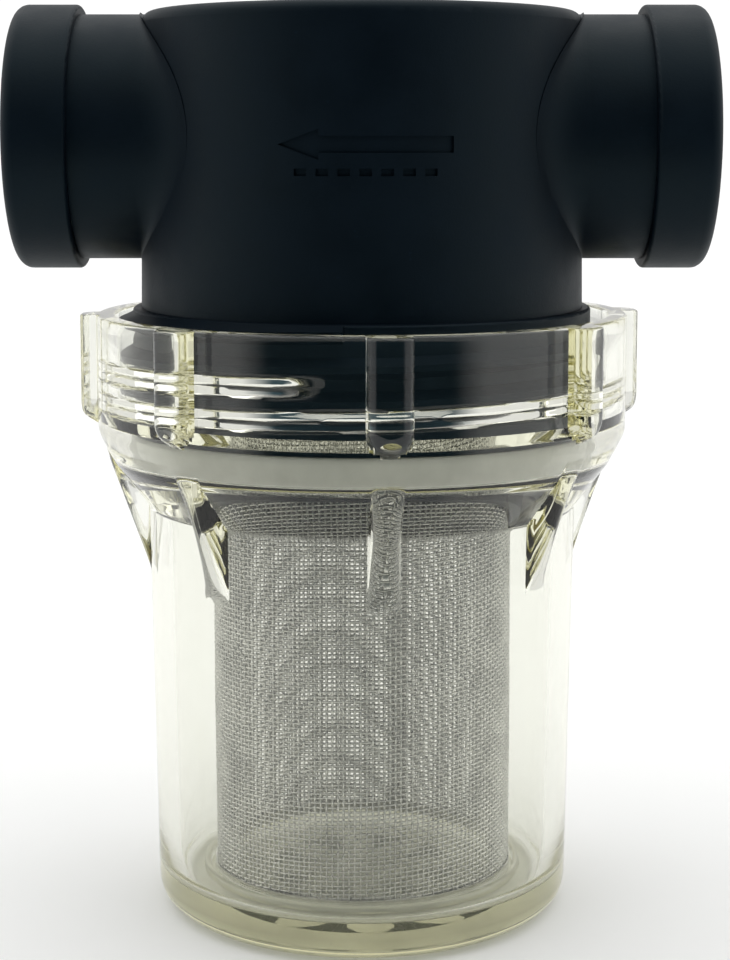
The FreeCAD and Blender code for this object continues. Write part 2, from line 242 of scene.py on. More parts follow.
class Paint:
    """A new material and the nodes put into it."""

    def __init__(self, name):
        self.material = bpy.data.materials.new(name)
        self.material.use_nodes = True
        self.tree = self.material.node_tree
        self.tree.nodes.clear()

    def add(self, kind, settings=None, sockets=None, output=0):
        """Adds one node: its settings first, then a value or a link for each named socket."""
        node = self.tree.nodes.new(kind)
        for key, value in (settings or {}).items():
            if key == "stops":
                self._set_stops(node.color_ramp, value)
            else:
                setattr(node, key, value)
        for key, value in (sockets or {}).items():
            if isinstance(value, Wire):
                self.tree.links.new(value.socket, node.inputs[key])
            else:
                node.inputs[key].default_value = value
        return Wire(self, node.outputs[output]) if node.outputs else node

    @staticmethod
    def _set_stops(ramp, stops):
        while len(ramp.elements) < len(stops):
            ramp.elements.new(1.0)
        for element, (place, colour) in zip(ramp.elements, stops):
            element.position = place
            element.color = (*colour, 1.0)

    def place(self):
        """Object coordinates, in metres."""
        return self.add("ShaderNodeTexCoord", output=3)

    def noise(self, size, detail=2.0, roughness=0.5, place=None):
        """Noise from 0 to 1 whose patches are about this size in metres."""
        sockets = {"Vector": place or self.place(), "Scale": 1 / size,
                   "Detail": detail, "Roughness": roughness}
        return self.add("ShaderNodeTexNoise", None, sockets)

    def stretched(self, x, y, z):
        """Object coordinates multiplied along each axis."""
        return self.add("ShaderNodeMapping", None, {"Vector": self.place(), "Scale": (x, y, z)})

    def band(self, value, low, high, to_low=0.0, to_high=1.0):
        """Value mapped from one range to another and held at its ends."""
        sockets = {"Value": value, "From Min": low, "From Max": high, "To Min": to_low, "To Max": to_high}
        return self.add("ShaderNodeMapRange", {"clamp": True}, sockets)

    def blend(self, factor, first, second):
        """One colour turning into another as the factor goes from 0 to 1."""
        settings = {"data_type": "RGBA"}
        sockets = {0: factor, 6: first, 7: second}
        return self.add("ShaderNodeMix", settings, sockets, output=2)

    def bump(self, height, distance, strength=1.0, below=None):
        """A normal pushed about by a height from 0 to 1 that stands for this many metres."""
        sockets = {"Height": height, "Distance": distance, "Strength": strength}
        if below is not None:
            sockets["Normal"] = below
        return self.add("ShaderNodeBump", None, sockets)

    def finish(self, surface, volume=None):
        """Joins the surface, and the volume if there is one, to the output."""
        sockets = {"Surface": surface}
        if volume is not None:
            sockets["Volume"] = volume
        self.add("ShaderNodeOutputMaterial", None, sockets)
        return self.material


def rgba(colour, scale=1.0):
    """A colour with its alpha, brighter or darker by a factor."""
    return (colour[0] * scale, colour[1] * scale, colour[2] * scale, 1.0)


def black_moulding(colour):
    """Spark-eroded black plastic: a fine even grain, faint flow marks and slightly polished patches."""
    paint = Paint("black_moulding")
    grain = paint.noise(0.32 * MM, 3.0, 0.6)
    mottle = paint.noise(7 * MM, 3.0, 0.55)
    flow = paint.noise(26 * MM, 2.0, 0.5, paint.stretched(1.0, 1.0, 0.35))
    tone = paint.blend(paint.band(mottle + flow * 0.6, 0.5, 1.1), rgba(colour, 0.8), rgba(colour, 1.35))
    specks = paint.band(paint.noise(0.9 * MM, 2.0), 0.72, 0.8)
    tone = paint.blend(specks * 0.35, tone, rgba(colour, 4.0))
    rough = paint.band(mottle, 0.3, 0.7, 0.43, 0.53) + grain * 0.06
    normal = paint.bump(grain, 0.022 * MM, 0.75)
    normal = paint.bump(mottle, 0.12 * MM, 0.25, normal)
    surface = paint.add("ShaderNodeBsdfPrincipled", None, {
        "Base Color": tone, "Roughness": rough, "Normal": normal,
        "Specular IOR Level": 0.17, "Specular Tint": (0.62, 0.92, 1.0, 1.0), "IOR": 1.49})
    return paint.finish(surface)


def clear_moulding(tint, depth):
    """Clear plastic with a yellow-green depth, fine flow ripples, faint smears and hair scratches."""
    paint = Paint("clear_moulding")
    smear = paint.noise(9 * MM, 4.0, 0.6, paint.stretched(1.0, 1.0, 0.6))
    scratch = paint.noise(0.5 * MM, 2.0, 0.5, paint.stretched(1.0, 1.0, 0.06))
    from_axis = paint.add("ShaderNodeVectorMath", {"operation": "LENGTH"},
                          {0: paint.stretched(1.0, 1.0, 0.0)}, output=1)
    height = paint.add("ShaderNodeSeparateXYZ", None, {0: paint.place()}, output=2)
    frosted = paint.band(from_axis, 24.6 * MM, 23.6 * MM) * paint.band(height, 6.2 * MM, 5.4 * MM)
    rough = paint.band(smear, 0.45, 0.75, 0.012, 0.05) + paint.band(scratch, 0.7, 0.78) * 0.06
    rough = rough + frosted * 0.3
    ripple = paint.noise(6 * MM, 2.0, 0.45, paint.stretched(1.0, 1.0, 0.35))
    normal = paint.bump(ripple, 0.1 * MM, 0.16)
    tone = paint.blend(paint.band(smear, 0.5, 0.85), (0.935, 0.94, 0.92, 1.0), (0.895, 0.90, 0.87, 1.0))
    glass = paint.add("ShaderNodeBsdfPrincipled", None, {
        "Base Color": tone, "Roughness": rough, "Normal": normal,
        "IOR": 1.5, "Transmission Weight": 1.0, "Specular IOR Level": 0.5})
    open_to_lamps = paint.add("ShaderNodeBsdfTransparent", None, {"Color": (0.93, 0.935, 0.87, 1.0)})
    from_lamp = paint.add("ShaderNodeLightPath", None, None, output=1)
    surface = paint.add("ShaderNodeMixShader", None, {0: from_lamp, 1: glass, 2: open_to_lamps})
    volume = paint.add("ShaderNodeVolumeAbsorption", None, {"Color": (*tint, 1.0), "Density": depth})
    return paint.finish(surface, volume)


def grey_silicone():
    """Soft light grey silicone with a dusty bloom."""
    paint = Paint("grey_silicone")
    bloom = paint.noise(3 * MM, 4.0, 0.6)
    grain = paint.noise(0.25 * MM, 2.0)
    tone = paint.blend(paint.band(bloom, 0.35, 0.7), (0.68, 0.68, 0.635, 1.0), (0.77, 0.77, 0.725, 1.0))
    surface = paint.add("ShaderNodeBsdfPrincipled", None, {
        "Base Color": tone, "Roughness": paint.band(bloom, 0.3, 0.7, 0.42, 0.6),
        "Normal": paint.bump(grain, 0.015 * MM, 0.5), "Specular IOR Level": 0.4})
    return paint.finish(surface)


def black_rubber():
    """Matte black rubber with a fine bloom."""
    paint = Paint("black_rubber")
    bloom = paint.noise(2 * MM, 4.0, 0.6)
    tone = paint.blend(paint.band(bloom, 0.35, 0.7), (0.018, 0.018, 0.018, 1.0), (0.035, 0.035, 0.034, 1.0))
    surface = paint.add("ShaderNodeBsdfPrincipled", None, {
        "Base Color": tone, "Roughness": paint.band(bloom, 0.3, 0.7, 0.6, 0.8),
        "Normal": paint.bump(bloom, 0.02 * MM, 0.5)})
    return paint.finish(surface)


def drawn_wire(colour, name="drawn_wire"):
    """Drawn stainless wire: a satin metal with slightly dull and slightly bright stretches."""
    paint = Paint(name)
    patch = paint.noise(5 * MM, 3.0, 0.6)
    fine = paint.noise(0.3 * MM, 2.0, 0.5)
    tone = paint.blend(paint.band(patch + fine * 0.5, 0.55, 1.0), rgba(colour, 0.82), rgba(colour, 1.18))
    surface = paint.add("ShaderNodeBsdfPrincipled", None, {
        "Base Color": tone, "Metallic": 1.0,
        "Roughness": paint.band(fine, 0.3, 0.7, 0.24, 0.4),
        "Normal": paint.bump(fine, 0.01 * MM, 0.4)})
    return paint.finish(surface)


def rolled_strip(colour):
    """Bright rolled stainless strip with fine lines along the roll."""
    paint = Paint("rolled_strip")
    lines = paint.noise(0.5 * MM, 3.0, 0.6, paint.stretched(0.08, 0.08, 6.0))
    patch = paint.noise(4 * MM, 3.0, 0.6)
    tone = paint.blend(paint.band(patch, 0.35, 0.7), rgba(colour, 0.95), rgba(colour, 1.25))
    surface = paint.add("ShaderNodeBsdfPrincipled", None, {
        "Base Color": tone, "Metallic": 1.0,
        "Roughness": paint.band(lines, 0.3, 0.7, 0.2, 0.36),
        "Normal": paint.bump(lines, 0.01 * MM, 0.5)})
    return paint.finish(surface)


def pale_floor(colour):
    """Pale matte floor with a barely visible grain."""
    paint = Paint("pale_floor")
    grain = paint.noise(30 * MM, 4.0, 0.6)
    tone = paint.blend(paint.band(grain, 0.3, 0.7), rgba(colour, 0.99), rgba(colour, 1.0))
    surface = paint.add("ShaderNodeBsdfPrincipled", None, {
        "Base Color": tone, "Roughness": 0.85, "Specular IOR Level": 0.1})
    return paint.finish(surface)


# ---------------------------------------------------------------- surfaces


def grid_faces(rows, columns, wrap_rows=False):
    """Quads between neighbouring points of a grid whose columns close on themselves."""
    row = np.arange(rows if wrap_rows else rows - 1)
    column = np.arange(columns)
    row, column = np.meshgrid(row, column, indexing="ij")
    next_row = (row + 1) % rows
    next_column = (column + 1) % columns
    quads = np.stack([row * columns + column, row * columns + next_column,
                      next_row * columns + next_column, next_row * columns + column], axis=-1)
    return quads.reshape(-1, 4)


def fan_faces(pole, ring, outward):
    """Triangles from one point to a closed ring of points."""
    after = np.roll(ring, -1)
    pole = np.full_like(ring, pole)
    order = (pole, ring, after) if outward else (pole, after, ring)
    return np.stack(order, axis=-1)


def signed_volume(points, triangles):
    """Volume inside closed triangles, negative if they face inwards."""
    a, b, c = (points[triangles[:, k]] for k in range(3))
    return float(np.einsum("ij,ij->i", a, np.cross(b, c)).sum() / 6)


def as_triangles(quads, triangles):
    """Every face as triangles, for measuring."""
    halves = [quads[:, [0, 1, 2]], quads[:, [0, 2, 3]]]
    return np.concatenate([*halves, triangles])


def new_piece(name, points, quads, triangles=None, material=None, crease=None):
    """A mesh object from whole arrays, turned to face outwards and smooth below the crease angle."""
    points = np.ascontiguousarray(points.reshape(-1, 3), dtype=np.float64)
    quads = np.asarray(quads, dtype=np.int64).reshape(-1, 4)
    triangles = np.zeros((0, 3), dtype=np.int64) if triangles is None else triangles.reshape(-1, 3)
    if signed_volume(points - points.mean(axis=0), as_triangles(quads, triangles)) < 0:
        quads = quads[:, ::-1]
        triangles = triangles[:, ::-1]
    mesh = bpy.data.meshes.new(name)
    mesh.vertices.add(len(points))
    mesh.vertices.foreach_set("co", points.ravel().astype(np.float32))
    corners = np.concatenate([quads.ravel(), triangles.ravel()]).astype(np.int32)
    sizes = np.concatenate([np.full(len(quads), 4), np.full(len(triangles), 3)])
    starts = np.concatenate([[0], np.cumsum(sizes)[:-1]]).astype(np.int32)
    mesh.loops.add(len(corners))
    mesh.loops.foreach_set("vertex_index", corners)
    mesh.polygons.add(len(sizes))
    mesh.polygons.foreach_set("loop_start", starts)
    mesh.update(calc_edges=True)
    mesh.validate()
    mesh.polygons.foreach_set("use_smooth", np.ones(len(mesh.polygons), dtype=bool))
    if crease is not None:
        mesh.set_sharp_from_angle(angle=crease)
    if material is not None:
        mesh.materials.append(material)
    piece = bpy.data.objects.new(name, mesh)
    bpy.context.scene.collection.objects.link(piece)
    return piece


def smooth_step(value):
    """0 below 0, 1 above 1, and an S-curve between."""
    value = np.clip(value, 0.0, 1.0)
    return value * value * (3 - 2 * value)


def outline(corners, spacing, arc_steps=6):
    """A path in the (radius, height) plane: straight runs with each corner rounded by an arc.

    Each corner is (radius, height, round radius). A run is divided about every spacing, and an arc
    starts and ends where a circle of the round radius touches both runs.
    """
    places = np.array([c[:2] for c in corners])
    path = places[:1]
    for index in range(1, len(places)):
        target = places[index]
        if index == len(places) - 1 or corners[index][2] == 0:
            arc = target[None]
        else:
            arc = corner_arc(places[index - 1], target, places[index + 1], corners[index][2], arc_steps)
        start = path[-1]
        count = max(1, int(np.ceil(np.linalg.norm(arc[0] - start) / spacing)))
        share = np.arange(1, count + 1)[:, None] / count
        path = np.concatenate([path, start + (arc[0] - start) * share, arc[1:]])
    return path


def corner_arc(before, corner, after, radius, steps):
    """The arc of this radius that touches the two runs meeting at a corner."""
    first = (before - corner) / np.linalg.norm(before - corner)
    second = (after - corner) / np.linalg.norm(after - corner)
    half = math.acos(np.clip(first @ second, -1, 1)) / 2
    reach = radius / math.tan(half)
    middle = (first + second) / np.linalg.norm(first + second)
    centre = corner + middle * radius / math.sin(half)
    start = corner + first * reach - centre
    end = corner + second * reach - centre
    sweep = math.pi - 2 * half
    share = np.linspace(0, 1, steps + 1)[:, None]
    return centre + (start * np.sin((1 - share) * sweep) + end * np.sin(share * sweep)) / math.sin(sweep)


def grip_angles(settings):
    """Angles round the bowl, closer together where the sides of the lugs and fins are."""
    half = math.pi / settings.grips
    inner = np.linspace(0, math.radians(2.4), 6)[:-1]
    sides = np.linspace(math.radians(2.4), math.radians(4.9), 13)[:-1]
    outer = np.linspace(math.radians(4.9), half, 10)
    side = np.concatenate([inner, sides, outer])
    sector = np.concatenate([-side[:0:-1], side[:-1]])
    starts = settings.grip_angle + np.arange(settings.grips) * 2 * half
    return (starts[:, None] + sector[None, :]).ravel()


def from_grip(angle, settings):
    """Angle to the middle of the nearest grip."""
    step = TURN / settings.grips
    return (angle - settings.grip_angle + step / 2) % step - step / 2


def rounded_crown(across, half, fullness):
    """1 in the middle of a rib and 0 at its sides, along a curve fuller than a half circle."""
    share = np.clip(np.abs(across) / half, 0, 1)
    return (1 - share ** fullness) ** 0.5


def lug_height(angle, height, settings):
    """How far a lug stands out at each point.

    A lug is a rounded tongue with a half-round lower end. The distance from its middle line, which
    stops one half width above its lower end, gives the height by a curve that is steep at the sides.
    """
    turn = from_grip(angle, settings)
    across = settings.ring_radius * np.abs(np.sin(turn))
    half = settings.lug_width / 2
    below = np.maximum(bowl_high[2] - LUG_STRAIGHT - height, 0)
    crown = rounded_crown(np.hypot(across, below), half, 3.2)
    flat_face = settings.lug_reach * (1 - 0.5 * turn ** 2)
    return crown * (flat_face - settings.ring_radius)


def fin_height(angle, radius, height, settings):
    """How far a fin stands out: a straight sloping edge above the wall, rounded over its width."""
    turn = from_grip(angle, settings)
    across = radius * np.abs(np.sin(turn))
    share = (height - FIN_FOOT) / (FIN_TOP - FIN_FOOT)
    edge_radius = FIN_FOOT_RADIUS + (FIN_TOP_RADIUS - FIN_FOOT_RADIUS) * share
    rise = np.maximum(edge_radius - radius, 0) * smooth_step((FIN_TOP + FIN_FADE - height) / FIN_FADE)
    return rise * rounded_crown(across, settings.fin_width / 2, 2.4)


def ridge_height(angle, height):
    """How far the bowl's screw ridge stands in from the bore.

    Two flanks at 45 degrees and a narrow crest about a line that climbs one lead in each turn,
    faded out at both ends.
    """
    total = np.zeros_like(height)
    bottom_angle = RIDGE_TOP_ANGLE - TURN * RIDGE_TURNS
    for lap in range(-2, 2):
        unwound = angle + TURN * lap
        middle = RIDGE_TOP - THREAD_LEAD * (RIDGE_TOP_ANGLE - unwound) / TURN
        across = np.clip(RIDGE_BASE / 2 - np.abs(height - middle), 0, RIDGE_DEPTH)
        ends = smooth_step((RIDGE_TOP_ANGLE - unwound) / RIDGE_RUN_OUT)
        ends = ends * smooth_step((unwound - bottom_angle) / RIDGE_RUN_OUT)
        total = np.maximum(total, across * ends)
    return total


def bowl_outside(settings):
    """Outer half of the bowl's outline, from the middle of its base to its bore at the rim."""
    base, rim = bowl_low[2], bowl_high[2]
    ring = settings.ring_radius
    bore = settings.bore_radius
    corners = [
        (POLE_RADIUS, base + RECESS_DEPTH, 0),
        (RECESS_RADIUS, base + RECESS_DEPTH, 0.25 * MM),
        (RECESS_RADIUS + EDGE_BREAK, base, 0.25 * MM),
        (BASE_RADIUS, base, BASE_ROUND),
        WALL_MIDDLE,
    ]
    upper = [
        WALL_MIDDLE,
        (WALL_TOP_RADIUS, WALL_TOP, 0.9 * MM),
        SHOULDER,
        (ring, RING_FOOT, 4.0 * MM),
        (ring, RING_MIDDLE, 0),
    ]
    top = [
        (ring, RING_MIDDLE, 0),
        (ring, rim, EDGE_BREAK),
        (bore, rim, EDGE_BREAK),
        (bore, rim - LIP, 0),
    ]
    wall = outline(corners, 3.6 * MM)
    waist = outline(upper, 0.58 * MM)
    lip = outline(top, 1.5 * MM)
    return np.concatenate([wall, waist[1:], lip[1:]])


def bowl_inside(settings):
    """Inner half of the bowl's outline, from its bore at the rim to the middle of its floor."""
    bore = settings.bore_radius
    seat = seal_low[2]
    floor = settings.floor_thickness
    foot = BASE_RADIUS - settings.wall_thickness
    collar = RECESS_RADIUS
    pocket = seal_high[0] + POCKET_GAP
    lead_in_foot = seal_high[2] + POCKET_RISE
    lead_in_top = lead_in_foot + bore - pocket
    plain = [(bore, bowl_high[2] - LIP, 0), (bore, THREAD_START, 0)]
    threaded = [(bore, THREAD_START, 0), (bore, lead_in_top, 0), (pocket, lead_in_foot, 0)]
    below = [
        (pocket, lead_in_foot, 0),
        (pocket, seat, 0.5 * MM),
        (NECK_RADIUS, seat, 0.5 * MM),
        (NECK_RADIUS, WALL_TOP, 0),
        (foot, floor, 2.0 * MM),
        (collar + 1.0 * MM, floor, 0.2 * MM),
        (collar + 0.9 * MM, floor + COLLAR_RISE, 0.3 * MM),
        (collar + 0.1 * MM, floor + COLLAR_RISE, 0.3 * MM),
        (collar, floor, 0.2 * MM),
        (POLE_RADIUS, floor, 0),
    ]
    upper = outline(plain, 2.0 * MM)
    thread = outline(threaded, 0.28 * MM)
    lower = outline(below, 3.6 * MM, 5)
    return np.concatenate([upper[1:], thread[1:], lower[1:]])


def build_bowl(settings, material):
    """The clear bowl as one closed surface.

    The outline in (radius, height) is turned about Z. Each point's radius then gains the height of
    the lugs and fins on the outside, and is held inside the screw ridge in the bore. The rim's
    flat top takes the lugs' height in proportion to how far out it is.
    """
    outside = bowl_outside(settings)
    inside = bowl_inside(settings)
    profile = np.concatenate([outside, inside])
    angles = grip_angles(settings)
    radius, angle = np.meshgrid(profile[:, 0], angles, indexing="ij")
    height = np.broadcast_to(profile[:, 1][:, None], radius.shape).copy()
    is_outside = np.arange(len(profile)) < len(outside)
    out_share = np.clip((profile[:, 0] - settings.bore_radius - 0.5 * MM)
                        / (settings.ring_radius - settings.bore_radius - 0.9 * MM), 0, 1)
    below_lugs = profile[:, 1] < bowl_high[2] - 2 * MM
    out_share = np.where(below_lugs, 1.0, out_share) * is_outside
    bumps = np.maximum(lug_height(angle, height, settings) * out_share[:, None],
                       fin_height(angle, radius, height, settings) * is_outside[:, None])
    crest = np.where(is_outside[:, None], 1.0, settings.bore_radius - ridge_height(angle, height))
    radius = np.minimum(radius + bumps, crest)
    points = np.stack([radius * np.cos(angle), radius * np.sin(angle), height], axis=-1)
    rows, columns = radius.shape
    poles = np.array([[0, 0, profile[0, 1]], [0, 0, profile[-1, 1]]])
    quads = grid_faces(rows, columns)
    first = np.arange(columns)
    last = first + (rows - 1) * columns
    count = rows * columns
    triangles = np.concatenate([fan_faces(count, first, False), fan_faces(count + 1, last, True)])
    points = np.concatenate([points.reshape(-1, 3), poles])
    piece = new_piece("clear_bowl", points, quads, triangles, material, math.radians(38))
    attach(piece, "bowl")
    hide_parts("bowl")
    return piece


def swept_wires(centre, outward, radius, sides=4):
    """Closed tubes along many paths at once.

    centre is (wires, steps, 3) and outward the unit direction away from the screen's axis. The
    section is a polygon spanned by outward and by its cross product with the path's direction.
    """
    along = np.gradient(centre, axis=1)
    along /= np.linalg.norm(along, axis=2, keepdims=True)
    across = np.cross(along, outward)
    across /= np.linalg.norm(across, axis=2, keepdims=True)
    above = np.cross(across, along)
    turn = np.arange(sides) / sides * TURN
    section = (above[:, :, None] * np.cos(turn)[:, None] + across[:, :, None] * np.sin(turn)[:, None])
    points = centre[:, :, None] + radius * section
    wires, steps = centre.shape[:2]
    quads = grid_faces(steps, sides)[None] + (np.arange(wires) * steps * sides)[:, None, None]
    ring = np.arange(sides)
    start_cap = ring[None, :4] + (np.arange(wires) * steps * sides)[:, None]
    end_cap = start_cap[:, ::-1] + (steps - 1) * sides
    return points.reshape(-1, 3), np.concatenate([quads.reshape(-1, 4), start_cap[:, ::-1], end_cap[:, ::-1]])


class Weave:
    """The screen's plain weave, as numbers that both sets of wires share."""

    def __init__(self, settings):
        outer = mesh_high[0]
        self.thickness = 0.5 * MM
        self.middle = outer - self.thickness / 2
        self.wire = 0.155 * MM
        self.wave = self.thickness / 2 - self.wire
        self.uprights = settings.uprights
        self.row_pitch = settings.row_pitch
        self.climb = settings.lift * settings.row_pitch / TURN
        self.low = mesh_low[2] + self.wire
        self.high = mesh_high[2] - self.wire
        self.start = math.atan2(seam_low[1] + seam_high[1], seam_low[0] + seam_high[0])


def uneven(which):
    """A small shift for each wire, as a share of the pitch, so the cloth isn't perfectly even."""
    return 0.13 * np.sin(which * 12.9898) * np.cos(which * 0.37)


def upright_wires(weave, which):
    """Upright wires: each passes in front of one cross wire and behind the next, as a cosine."""
    steps = int(round((weave.high - weave.low) / weave.row_pitch * 2)) + 1
    height = np.linspace(weave.low, weave.high, steps)[None]
    turn = which[:, None] / weave.uprights * TURN
    row = (height - weave.low - turn * weave.climb) / weave.row_pitch
    radius = weave.middle + weave.wave * np.cos(math.pi * (row + which[:, None]))
    shift = uneven(which)[:, None] * TURN / weave.uprights
    angle = turn + shift + weave.start + np.zeros_like(height)
    height = np.broadcast_to(height, angle.shape)
    return ring_points(angle, radius, height)


def cross_wires(weave, which):
    """Cross wires: each climbs a few rows in one turn of the tube, against the uprights' cosine."""
    steps = weave.uprights * 2 + 1
    turn = np.linspace(0, TURN, steps)[None]
    column = turn / TURN * weave.uprights
    row = which[:, None] + uneven(which)[:, None]
    height = weave.low + row * weave.row_pitch + turn * weave.climb
    radius = weave.middle - weave.wave * np.cos(math.pi * (column + which[:, None]))
    angle = turn + weave.start + np.zeros_like(radius)
    return ring_points(angle, radius, np.clip(height, weave.low, weave.high))


def ring_points(angle, radius, height):
    """Points at an angle, radius and height, and the unit direction outwards at each."""
    outward = np.stack([np.cos(angle), np.sin(angle), np.zeros_like(angle)], axis=-1)
    points = outward * radius[..., None]
    points[..., 2] = height
    return points, outward


def add_wires(name, paths, radius, replaced, material):
    """One piece of many wires, in the place of a plain CAD node of the screen."""
    points, quads = swept_wires(*paths, radius)
    piece = new_piece(name, points, quads, None, material)
    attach(piece, "screen")
    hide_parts(replaced)


def build_screen(settings, wire_material):
    """The woven tube, in four groups of wires, and the lapped second layer along its seam."""
    weave = Weave(settings)
    rows = int((weave.high - weave.low) / weave.row_pitch)
    all_rows = np.arange(-settings.lift + 1, rows + 1)
    uprights = np.arange(settings.uprights)
    groups = {
        "screen_uprights_even": upright_wires(weave, uprights[0::2]),
        "screen_uprights_odd": upright_wires(weave, uprights[1::2]),
        "screen_cross_even": cross_wires(weave, all_rows[0::2]),
        "screen_cross_odd": cross_wires(weave, all_rows[1::2]),
    }
    for name, paths in groups.items():
        add_wires(name, paths, weave.wire, "screen_mesh", wire_material)
    build_seam(weave, wire_material)


def build_seam(weave, wire_material):
    """The lap: a narrow strip of the same weave lying against the inside of the tube."""
    wire = 0.0875 * MM
    middle = mesh_high[0] - weave.thickness - 2 * wire
    half_angle = 1.15 * MM / middle
    low, high = seam_low[2] + wire, seam_high[2] - wire
    columns = 7
    spots = np.linspace(-half_angle, half_angle, columns)[:, None]
    steps = int(round((high - low) / weave.row_pitch * 2)) + 1
    height = np.linspace(low, high, steps)[None]
    row = (height - low) / weave.row_pitch
    radius = middle + wire * np.cos(math.pi * (row + np.arange(columns)[:, None]))
    angle = weave.start + spots + np.zeros_like(radius)
    uprights = ring_points(angle, radius, np.broadcast_to(height, radius.shape))
    which = np.arange(int((high - low) / weave.row_pitch) + 1)[:, None]
    across = np.linspace(-half_angle, half_angle, 2 * columns - 1)[None]
    column = (across / half_angle + 1) / 2 * (columns - 1)
    radius = middle - wire * np.cos(math.pi * (column + which))
    angle = weave.start + across + np.zeros_like(radius)
    cross = ring_points(angle, radius, low + which * weave.row_pitch + np.zeros_like(radius))
    for name, paths in {"seam_uprights": uprights, "seam_cross": cross}.items():
        add_wires(name, paths, wire, "screen_seam_strip", wire_material)


def build_port_thread(name, side, settings, material):
    """The pipe thread in one port: a sleeve against the bore with a V-shaped ridge wound inside it.

    The inner radius falls and rises as a triangle wave of the distance along the port less the
    angle's share of a pitch, with its tips and roots cut flat, and fades out at both ends.
    """
    pitch = settings.thread_pitch
    start = head_high[0] - port_depth + 0.05 * MM
    end = head_high[0] - 0.9 * MM
    steps = int((end - start) / pitch * 12)
    along = np.linspace(start, end, steps)
    angle = np.linspace(0, TURN, 97)[:-1]
    place, turn = np.meshgrid(along, angle, indexing="ij")
    phase = (place / pitch - turn / TURN) % 1.0
    wave = np.clip((0.5 - np.abs(phase - 0.5)) * 2.5 - 0.25, 0, 1)
    fade = smooth_step((place - start) / pitch) * smooth_step((end - place) / pitch)
    outer = port_radius - 0.01 * MM
    inner = outer - 0.12 * MM - wave * fade * 1.05 * MM
    first = np.full((1, len(angle)), outer)
    radius = np.concatenate([first, inner, first])
    place = np.concatenate([place[:1], place, place[-1:]])
    turn = np.concatenate([turn[:1], turn, turn[-1:]])
    points = np.stack([side * place, radius * np.sin(turn) * side,
                       port_height + radius * np.cos(turn)], axis=-1)
    quads = grid_faces(*radius.shape, wrap_rows=True)
    piece = new_piece(name, points, quads, None, material)
    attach(piece, "head")


def build_pipe_blend(name, side, settings, material):
    """The soft blend where a pipe leaves the body.

    For each angle round the pipe, a cubic curve leaves the pipe along X and meets the body along
    its own curve, a short way from the line where the two cross. The blend is widest half way up
    and almost nothing at the top and bottom. A second sheet sunk in the plastic closes it.
    """
    turn = np.linspace(0, TURN, 193)[:-1]
    sideways = np.sin(turn)
    wide = 0.25 * MM + settings.blend * np.abs(sideways) ** 3
    crossing_y = PIPE_RADIUS * sideways
    crossing_x = np.sqrt(BODY_RADIUS ** 2 - crossing_y ** 2)
    pipe_height = PIPE_RADIUS * np.cos(turn)
    on_pipe = np.stack([crossing_x + wide, crossing_y, pipe_height], axis=-1)
    body_turn = np.arctan2(crossing_y, crossing_x)
    away = np.sign(crossing_y) * wide / BODY_RADIUS * np.abs(sideways)
    climb = np.cos(turn) * wide * 0.9
    met = body_turn + away
    body_height = pipe_height + climb
    on_body = np.stack([BODY_RADIUS * np.cos(met), BODY_RADIUS * np.sin(met), body_height], axis=-1)
    crossing = np.stack([crossing_x, crossing_y, pipe_height], axis=-1)
    share = np.linspace(0, 1, 13)[None, :, None]
    curve = ((1 - share) ** 2 * on_pipe[:, None] + 2 * share * (1 - share) * crossing[:, None]
             + share ** 2 * on_body[:, None])
    inwards = -np.stack([np.ones_like(turn) * 0.7, sideways, np.cos(turn)], axis=-1)
    sunk = curve + inwards[:, None] * 0.8 * MM
    both = np.concatenate([curve, sunk[:, ::-1]], axis=1)
    both[..., 0] *= side
    both[..., 2] += port_height
    quads = grid_faces(*both.shape[:2], wrap_rows=True)
    piece = new_piece(name, both, quads, None, material, math.radians(30))
    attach(piece, "head")


def paint_node(name, material):
    """Gives a CAD node its finish."""
    node = frame["nodes"][name]
    node.data.materials.clear()
    node.data.materials.append(material)


# ---------------------------------------------------------------- operators


class STRAINER_OT_head(Operator):
    """Finish the black head: its grain, the blends at its pipes and the threads in its ports"""

    bl_idname = "strainer.head"
    bl_label = "Head"

    def execute(self, context):
        settings = context.scene.strainer_head
        material = black_moulding(settings.colour)
        paint_node("head_body", material)
        paint_node("screen_seat_gasket", black_rubber())
        for side, word in ((1, "inlet"), (-1, "outlet")):
            build_port_thread(word + "_thread", side, settings, material)
            build_pipe_blend(word + "_pipe_blend", side, settings, material)
        return {"FINISHED"}


class STRAINER_OT_screen(Operator):
    """Weave the screen tube and finish its rims"""

    bl_idname = "strainer.screen"
    bl_label = "Screen"

    def execute(self, context):
        settings = context.scene.strainer_screen
        build_screen(settings, drawn_wire(settings.colour))
        strip = rolled_strip(settings.colour)
        paint_node("screen_top_rim", strip)
        paint_node("screen_bottom_rim", strip)
        return {"FINISHED"}


class STRAINER_OT_bowl(Operator):
    """Turn the clear bowl with its lugs, fins and screw ridge, and finish its sealing ring"""

    bl_idname = "strainer.bowl"
    bl_label = "Bowl"

    def execute(self, context):
        settings = context.scene.strainer_bowl
        build_bowl(settings, clear_moulding(settings.tint, settings.depth_of_tint))
        paint_node("bowl_sealing_ring", grey_silicone())
        return {"FINISHED"}


class STRAINER_OT_stage(Operator):
    """Lay the floor, hang the lights and set the camera"""

    bl_idname = "strainer.stage"
    bl_label = "Stage"

    def execute(self, context):
        settings = context.scene.strainer_stage
        build_floor(settings)
        build_world(settings)
        build_lights(settings)
        build_camera(settings)
        return {"FINISHED"}


